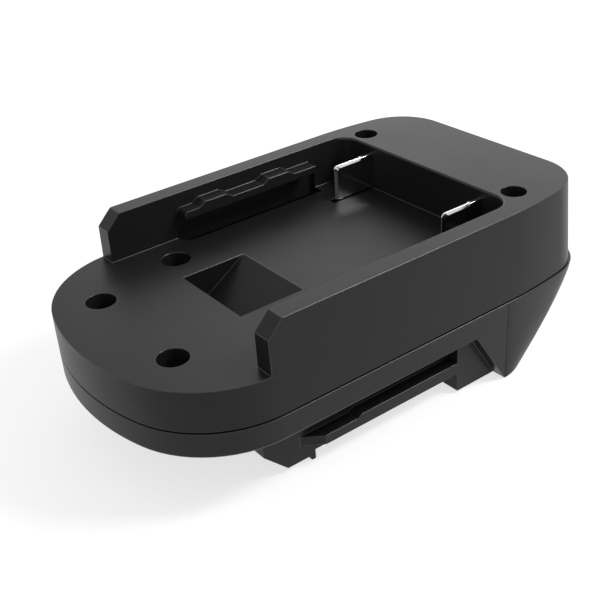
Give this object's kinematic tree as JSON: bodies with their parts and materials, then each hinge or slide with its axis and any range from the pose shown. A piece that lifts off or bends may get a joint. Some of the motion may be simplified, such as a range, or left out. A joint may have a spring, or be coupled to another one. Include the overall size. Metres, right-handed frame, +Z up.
{
  "type": "tool battery adapter",
  "caption": "Slide-on adapter between a cordless tool and a battery pack, with a railed pack bay on top, blade terminals, a rail foot underneath and a sprung release latch.",
  "frame": {"origin": "middle of the footprint, on the plane that the lowest point of the tail touches", "axes": "+X from the round nose to the rear, +Y across, +Z up out of the pack bay"},
  "size_m": [0.1368, 0.079, 0.048],
  "materials": {
    "upper_shell": "fine-textured black moulding",
    "lower_shell": "fine-textured black moulding",
    "inner_plastic": "plain black moulding",
    "latch_plastic": "plain dark grey moulding",
    "blade_metal": "bright nickel plating",
    "clip_metal": "bare spring brass",
    "screw_steel": "dark plated steel",
    "spring_steel": "drawn spring wire",
    "red_insulation": "smooth red insulation",
    "black_insulation": "smooth black insulation"
  },
  "bodies": {
    "housing": {"upper_shell": "upper_shell", "lower_shell": "lower_shell", "deck_screws": "screw_steel", "rear_screws": "screw_steel", "positive_blade": "blade_metal", "negative_blade": "blade_metal", "blade_carrier": "inner_plastic", "carrier_screws": "screw_steel", "positive_clip": "clip_metal", "negative_clip": "clip_metal", "clip_carrier": "inner_plastic", "clip_cover": "inner_plastic", "positive_lead": "red_insulation", "negative_lead": "black_insulation", "catch_spring_left": "spring_steel", "catch_spring_right": "spring_steel", "latch_keeper": "inner_plastic", "keeper_screws": "screw_steel"},
    "button": {"release_button": "latch_plastic"},
    "catch": {"latch_catch": "latch_plastic"}
  },
  "joints": [
    {"name": "button_press", "type": "slide", "parent": "housing", "child": "button", "axis": [-1, 0, 0], "range_m": [0, 0.003]},
    {"name": "catch_lift", "type": "slide", "parent": "housing", "child": "catch", "axis": [0, 0, 1], "range_m": [0, 0.003], "stiffness_N_per_m": 500, "springref_m": -0.003, "deforming": ["catch_spring_left", "catch_spring_right"]}
  ],
  "couplings": [
    {"joint": "catch_lift", "follows": "button_press", "ratio": 1}
  ]
}
